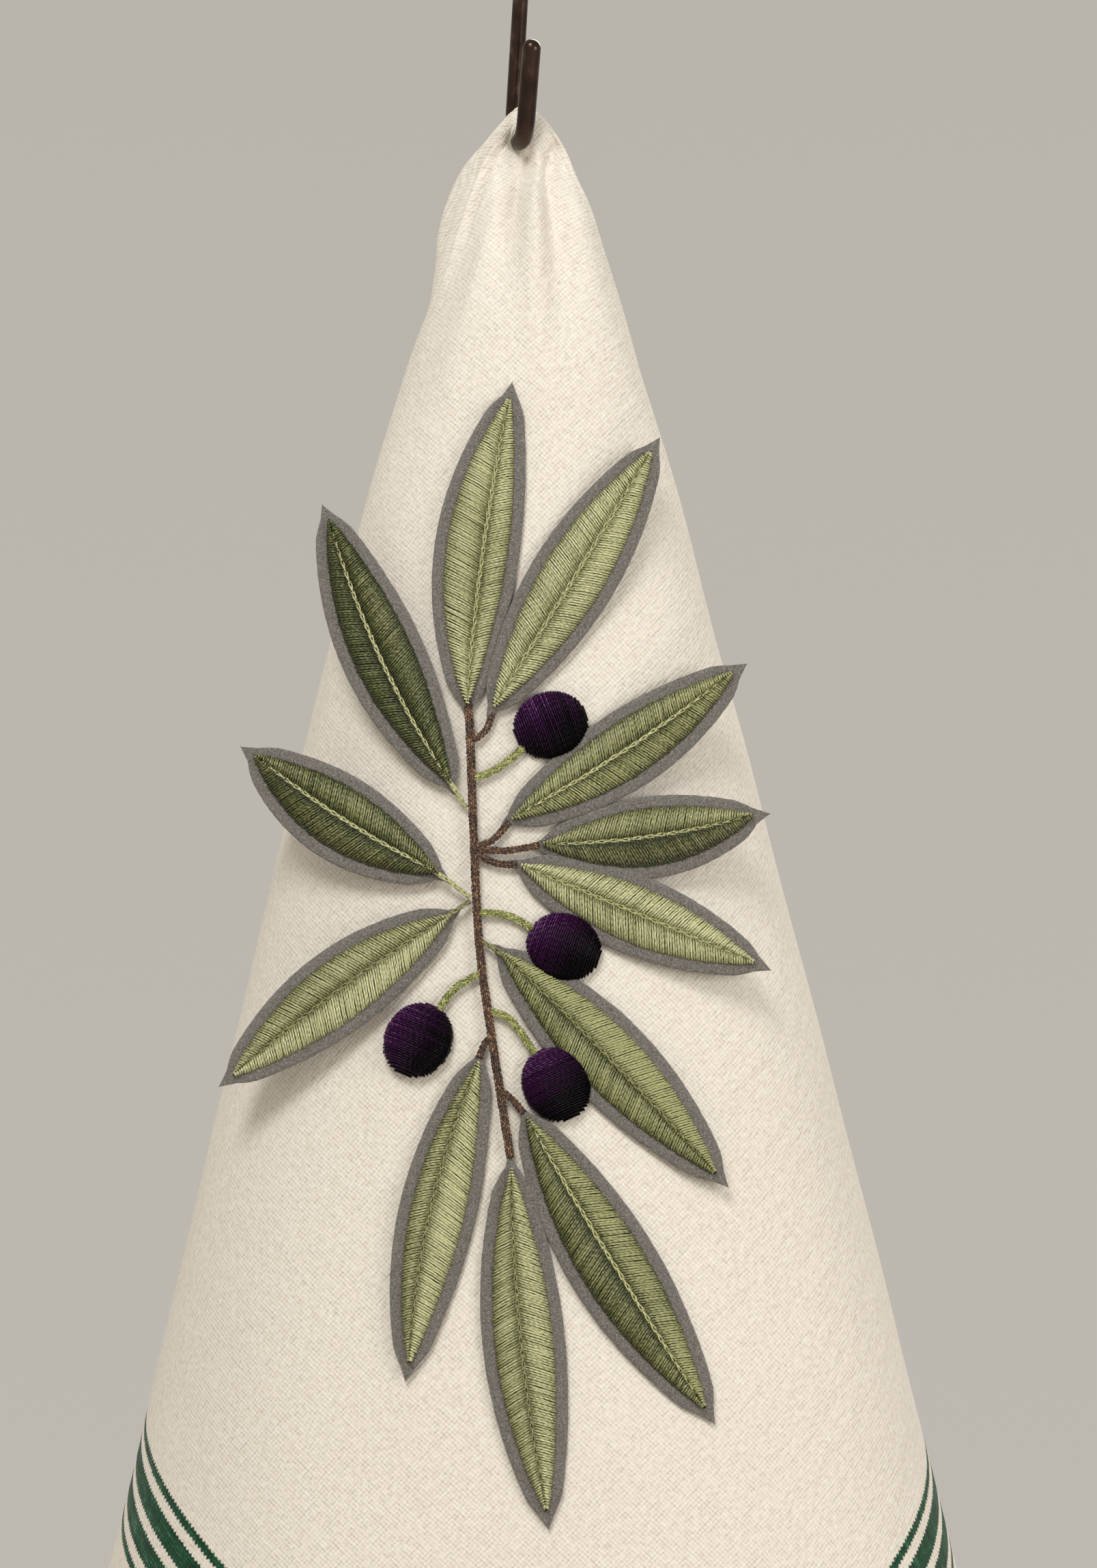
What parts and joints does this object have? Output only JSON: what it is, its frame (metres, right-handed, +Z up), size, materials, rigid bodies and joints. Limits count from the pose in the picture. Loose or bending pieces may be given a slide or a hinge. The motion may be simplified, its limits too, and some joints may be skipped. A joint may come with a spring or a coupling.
{
  "type": "kitchen towel on a hook",
  "caption": "Cream cotton kitchen towel with green woven border stripes and an embroidered felt olive branch, hung by a gathered point from a dark wire S-hook.",
  "frame": {"origin": "the rail seat: inside top of the hook's upper bend", "axes": "+Z up, the decorated face looks along -Y, +X to the viewer's right"},
  "size_m": [0.252, 0.2044, 0.6578],
  "materials": {
    "hook_metal": "dark bronze plating, satin, worn where it rubs",
    "towel_cotton": "cream cotton, fine diagonal weave, dark green woven stripes near the edge",
    "felt_grey": "die-cut wool felt, mottled grey",
    "thread_sage": "satin stitch, glossy sage thread",
    "thread_dark_green": "satin stitch, glossy olive green thread",
    "thread_midrib": "rope-like line of light sage stitching",
    "thread_stalk": "chain stitch, yellow-green thread",
    "thread_purple": "padded satin stitch, deep purple thread",
    "thread_brown": "chain stitch, dark brown thread"
  },
  "bodies": {
    "hook": {"s_hook": "hook_metal"},
    "towel": {"leaf_backing_01": "felt_grey", "leaf_backing_02": "felt_grey", "leaf_backing_03": "felt_grey", "leaf_backing_04": "felt_grey", "leaf_backing_05": "felt_grey", "leaf_backing_06": "felt_grey", "leaf_backing_07": "felt_grey", "leaf_backing_08": "felt_grey", "leaf_backing_09": "felt_grey", "leaf_backing_10": "felt_grey", "leaf_backing_11": "felt_grey", "leaf_backing_12": "felt_grey", "leaf_midrib_01": "thread_midrib", "leaf_midrib_02": "thread_midrib", "leaf_midrib_03": "thread_midrib", "leaf_midrib_04": "thread_midrib", "leaf_midrib_05": "thread_midrib", "leaf_midrib_06": "thread_midrib", "leaf_midrib_07": "thread_midrib", "leaf_midrib_08": "thread_midrib", "leaf_midrib_09": "thread_midrib", "leaf_midrib_10": "thread_midrib", "leaf_midrib_11": "thread_midrib", "leaf_midrib_12": "thread_midrib", "leaf_satin_01": "thread_sage", "leaf_satin_02": "thread_sage", "leaf_satin_03": "thread_dark_green", "leaf_satin_04": "thread_dark_green", "leaf_satin_05": "thread_sage", "leaf_satin_06": "thread_dark_green", "leaf_satin_07": "thread_sage", "leaf_satin_08": "thread_sage", "leaf_satin_09": "thread_dark_green", "leaf_satin_10": "thread_sage", "leaf_satin_11": "thread_sage", "leaf_satin_12": "thread_dark_green", "main_stem": "thread_brown", "olive_01": "thread_purple", "olive_02": "thread_purple", "olive_03": "thread_purple", "olive_04": "thread_purple", "olive_stalk_01": "thread_stalk", "olive_stalk_02": "thread_stalk", "olive_stalk_03": "thread_stalk", "olive_stalk_04": "thread_stalk", "towel_cloth": "towel_cotton", "twig_leaf_02": "thread_brown", "twig_leaf_06": "thread_brown", "twig_leaf_07": "thread_brown", "twig_leaf_08": "thread_brown", "twig_leaf_10": "thread_brown", "twig_leaf_12": "thread_brown"}
  },
  "joints": [
    {"name": "towel_swing", "type": "hinge", "parent": "hook", "child": "towel", "pos_m": [0, 0, -0.093], "axis": [-0.225, 0.9744, 0], "range_deg": [-20, 20]}
  ]
}
